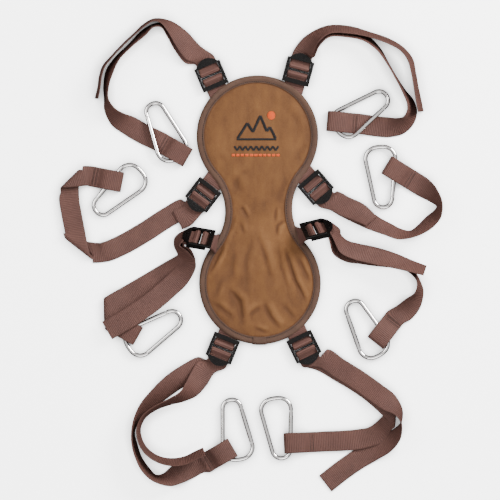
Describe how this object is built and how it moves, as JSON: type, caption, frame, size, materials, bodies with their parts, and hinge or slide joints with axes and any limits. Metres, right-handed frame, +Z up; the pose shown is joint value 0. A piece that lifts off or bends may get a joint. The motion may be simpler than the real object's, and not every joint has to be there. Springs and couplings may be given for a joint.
{
  "type": "eight-leg webbing harness panel",
  "caption": "Hourglass padded canvas panel with adjustable webbing legs on ladder-lock buckles, each leg ending in a sewn loop with a spring-gate carabiner.",
  "frame": {"origin": "centre of the panel's flat back face, on the floor it lies on", "axes": "+Y towards the panel's upper lobe, +X to the right seen from above, +Z up out of the front cover"},
  "size_m": [0.4733, 0.5844, 0.0364],
  "materials": {
    "canvas": "waxed tan cotton canvas, matt",
    "lining": "tan woven lining, matt",
    "foam": "closed-cell foam sheet",
    "binding": "ribbed grosgrain tape, mauve-brown",
    "webbing": "ribbed polypropylene webbing, mauve-brown",
    "buckle_plastic": "black acetal, satin gloss",
    "plated_steel": "polished nickel-plated steel",
    "spring_steel": "bright spring wire"
  },
  "bodies": {
    "panel": {"front_cover": "canvas", "back_cover": "lining", "foam_pad": "foam", "edge_binding": "binding", "anchor_loop_upper_left": "webbing", "anchor_loop_upper_right": "webbing", "anchor_loop_left_upper": "webbing", "anchor_loop_left_lower": "webbing", "anchor_loop_right_upper": "webbing", "anchor_loop_right_lower": "webbing", "anchor_loop_lower_left": "webbing", "anchor_loop_lower_right": "webbing"},
    "leg_upper_left": {"buckle_upper_left": "buckle_plastic", "strap_upper_left": "webbing"},
    "carabiner_upper_left": {"carabiner_upper_left": "plated_steel"},
    "gate_upper_left": {"gate_upper_left": "plated_steel", "gate_pins_upper_left": "plated_steel", "gate_spring_upper_left": "spring_steel"},
    "leg_upper_right": {"buckle_upper_right": "buckle_plastic", "strap_upper_right": "webbing"},
    "carabiner_upper_right": {"carabiner_upper_right": "plated_steel"},
    "gate_upper_right": {"gate_upper_right": "plated_steel", "gate_pins_upper_right": "plated_steel", "gate_spring_upper_right": "spring_steel"},
    "leg_left_upper": {"buckle_left_upper": "buckle_plastic", "strap_left_upper": "webbing"},
    "carabiner_left_upper": {"carabiner_left_upper": "plated_steel"},
    "gate_left_upper": {"gate_left_upper": "plated_steel", "gate_pins_left_upper": "plated_steel", "gate_spring_left_upper": "spring_steel"},
    "leg_left_lower": {"buckle_left_lower": "buckle_plastic", "strap_left_lower": "webbing"},
    "carabiner_left_lower": {"carabiner_left_lower": "plated_steel"},
    "gate_left_lower": {"gate_left_lower": "plated_steel", "gate_pins_left_lower": "plated_steel", "gate_spring_left_lower": "spring_steel"},
    "leg_right_upper": {"buckle_right_upper": "buckle_plastic", "strap_right_upper": "webbing"},
    "carabiner_right_upper": {"carabiner_right_upper": "plated_steel"},
    "gate_right_upper": {"gate_right_upper": "plated_steel", "gate_pins_right_upper": "plated_steel", "gate_spring_right_upper": "spring_steel"},
    "leg_right_lower": {"buckle_right_lower": "buckle_plastic", "strap_right_lower": "webbing"},
    "carabiner_right_lower": {"carabiner_right_lower": "plated_steel"},
    "gate_right_lower": {"gate_right_lower": "plated_steel", "gate_pins_right_lower": "plated_steel", "gate_spring_right_lower": "spring_steel"},
    "leg_lower_left": {"buckle_lower_left": "buckle_plastic", "strap_lower_left": "webbing"},
    "carabiner_lower_left": {"carabiner_lower_left": "plated_steel"},
    "gate_lower_left": {"gate_lower_left": "plated_steel", "gate_pins_lower_left": "plated_steel", "gate_spring_lower_left": "spring_steel"},
    "leg_lower_right": {"buckle_lower_right": "buckle_plastic", "strap_lower_right": "webbing"},
    "carabiner_lower_right": {"carabiner_lower_right": "plated_steel"},
    "gate_lower_right": {"gate_lower_right": "plated_steel", "gate_pins_lower_right": "plated_steel", "gate_spring_lower_right": "spring_steel"}
  },
  "joints": [
    {"name": "leg_hinge_upper_left", "type": "hinge", "parent": "panel", "child": "leg_upper_left", "pos_m": [-0.05679, 0.16169, 0.0036], "axis": [0.9219, 0.3875, 0], "range_deg": [0, 5]},
    {"name": "carabiner_swivel_upper_left", "type": "hinge", "parent": "leg_upper_left", "child": "carabiner_upper_left", "pos_m": [-0.09703, 0.0695, 0.00573], "axis": [0.0579, 0.0624, 0.9964], "range_deg": [-6, 6]},
    {"name": "gate_upper_left", "type": "hinge", "parent": "carabiner_upper_left", "child": "gate_upper_left", "pos_m": [-0.13651, 0.11163, 0.00528], "axis": [0.0579, 0.0624, 0.9964], "range_deg": [0, 8], "stiffness_Nm_per_rad": 0.02, "springref_deg": -28.65},
    {"name": "leg_hinge_upper_right", "type": "hinge", "parent": "panel", "child": "leg_upper_right", "pos_m": [0.04766, 0.16716, 0.0036], "axis": [0.9659, -0.2588, 0], "range_deg": [0, 5]},
    {"name": "carabiner_swivel_upper_right", "type": "hinge", "parent": "leg_upper_right", "child": "carabiner_upper_right", "pos_m": [0.09535, 0.1088, 0.00573], "axis": [-0.0173, 0.0834, 0.9964], "range_deg": [-4, 6]},
    {"name": "gate_upper_right", "type": "hinge", "parent": "carabiner_upper_right", "child": "gate_upper_right", "pos_m": [0.15162, 0.1227, 0.00528], "axis": [0.0173, -0.0834, -0.9964], "range_deg": [0, 8], "stiffness_Nm_per_rad": 0.02, "springref_deg": -28.65},
    {"name": "leg_hinge_left_upper", "type": "hinge", "parent": "panel", "child": "leg_left_upper", "pos_m": [-0.06614, 0.02156, 0.0036], "axis": [-0.7944, 0.6074, 0], "range_deg": [0, 5]},
    {"name": "carabiner_swivel_left_upper", "type": "hinge", "parent": "leg_left_upper", "child": "carabiner_left_upper", "pos_m": [-0.179, 0.0359, 0.00513], "axis": [0.0255, -0.0478, 0.9985], "range_deg": [0, 10]},
    {"name": "gate_left_upper", "type": "hinge", "parent": "carabiner_left_upper", "child": "gate_left_upper", "pos_m": [-0.19717, 0.01698, 0.00464], "axis": [-0.0255, 0.0478, -0.9985], "range_deg": [0, 2], "stiffness_Nm_per_rad": 0.02, "springref_deg": -28.65},
    {"name": "leg_hinge_left_lower", "type": "hinge", "parent": "panel", "child": "leg_left_lower", "pos_m": [-0.06782, -0.03651, 0.01749], "axis": [0.1883, 0.6198, -0.7618], "range_deg": [0, 5]},
    {"name": "carabiner_swivel_left_lower", "type": "hinge", "parent": "leg_left_lower", "child": "carabiner_left_lower", "pos_m": [-0.15827, -0.15098, 0.00517], "axis": [0.034, -0.0281, 0.999], "range_deg": [-1, 6]},
    {"name": "gate_left_lower", "type": "hinge", "parent": "carabiner_left_lower", "child": "gate_left_lower", "pos_m": [-0.11726, -0.12827, 0.00452], "axis": [0.034, -0.0281, 0.999], "range_deg": [0, 2], "stiffness_Nm_per_rad": 0.02, "springref_deg": -28.65},
    {"name": "leg_hinge_right_upper", "type": "hinge", "parent": "panel", "child": "leg_right_upper", "pos_m": [0.06791, 0.03089, 0.0036], "axis": [-0.7581, -0.6521, 0], "range_deg": [0, 5]},
    {"name": "carabiner_swivel_right_upper", "type": "hinge", "parent": "leg_right_upper", "child": "carabiner_right_upper", "pos_m": [0.16698, 0.05005, 0.00532], "axis": [-0.0513, -0.0174, 0.9985], "range_deg": [-10, 0.5]},
    {"name": "gate_right_upper", "type": "hinge", "parent": "carabiner_right_upper", "child": "gate_right_upper", "pos_m": [0.16533, 0.01978, 0.00464], "axis": [-0.0513, -0.0174, 0.9985], "range_deg": [0, 3], "stiffness_Nm_per_rad": 0.02, "springref_deg": -28.65},
    {"name": "leg_hinge_right_lower", "type": "hinge", "parent": "panel", "child": "leg_right_lower", "pos_m": [0.06558, -0.02625, 0.01834], "axis": [0.2476, -0.5448, 0.8011], "range_deg": [0, 5]},
    {"name": "carabiner_swivel_right_lower", "type": "hinge", "parent": "leg_right_lower", "child": "carabiner_right_lower", "pos_m": [0.15073, -0.15578, 0.00517], "axis": [-0.0528, -0.012, 0.9985], "range_deg": [-3, 10]},
    {"name": "gate_right_lower", "type": "hinge", "parent": "carabiner_right_lower", "child": "gate_right_lower", "pos_m": [0.11056, -0.13307, 0.00338], "axis": [-0.0528, -0.012, 0.9985], "range_deg": [0, 18], "stiffness_Nm_per_rad": 0.02, "springref_deg": -28.65},
    {"name": "leg_hinge_lower_left", "type": "hinge", "parent": "panel", "child": "leg_lower_left", "pos_m": [-0.04299, -0.16715, 0.0036], "axis": [-0.9272, 0.3746, 0], "range_deg": [0, 5]},
    {"name": "carabiner_swivel_lower_left", "type": "hinge", "parent": "leg_lower_left", "child": "carabiner_lower_left", "pos_m": [-0.04138, -0.29848, 0.00532], "axis": [0.0141, 0.0233, 0.9996], "range_deg": [-8, 2]},
    {"name": "gate_lower_left", "type": "hinge", "parent": "carabiner_lower_left", "child": "gate_lower_left", "pos_m": [-0.02055, -0.24803, 0.00361], "axis": [-0.0141, -0.0233, -0.9996], "range_deg": [0, 22], "stiffness_Nm_per_rad": 0.02, "springref_deg": -28.65},
    {"name": "leg_hinge_lower_right", "type": "hinge", "parent": "panel", "child": "leg_lower_right", "pos_m": [0.05411, -0.16556, 0.0036], "axis": [-0.8988, -0.4384, 0], "range_deg": [0, 5]},
    {"name": "carabiner_swivel_lower_right", "type": "hinge", "parent": "leg_lower_right", "child": "carabiner_lower_right", "pos_m": [0.04209, -0.28776, 0.00543], "axis": [-0.0501, -0.0207, 0.9985], "range_deg": [-4, 4]},
    {"name": "gate_lower_right", "type": "hinge", "parent": "carabiner_lower_right", "child": "gate_lower_right", "pos_m": [0.03919, -0.28936, 0.00485], "axis": [-0.0501, -0.0207, 0.9985], "range_deg": [0, 12], "stiffness_Nm_per_rad": 0.02, "springref_deg": -28.65}
  ]
}
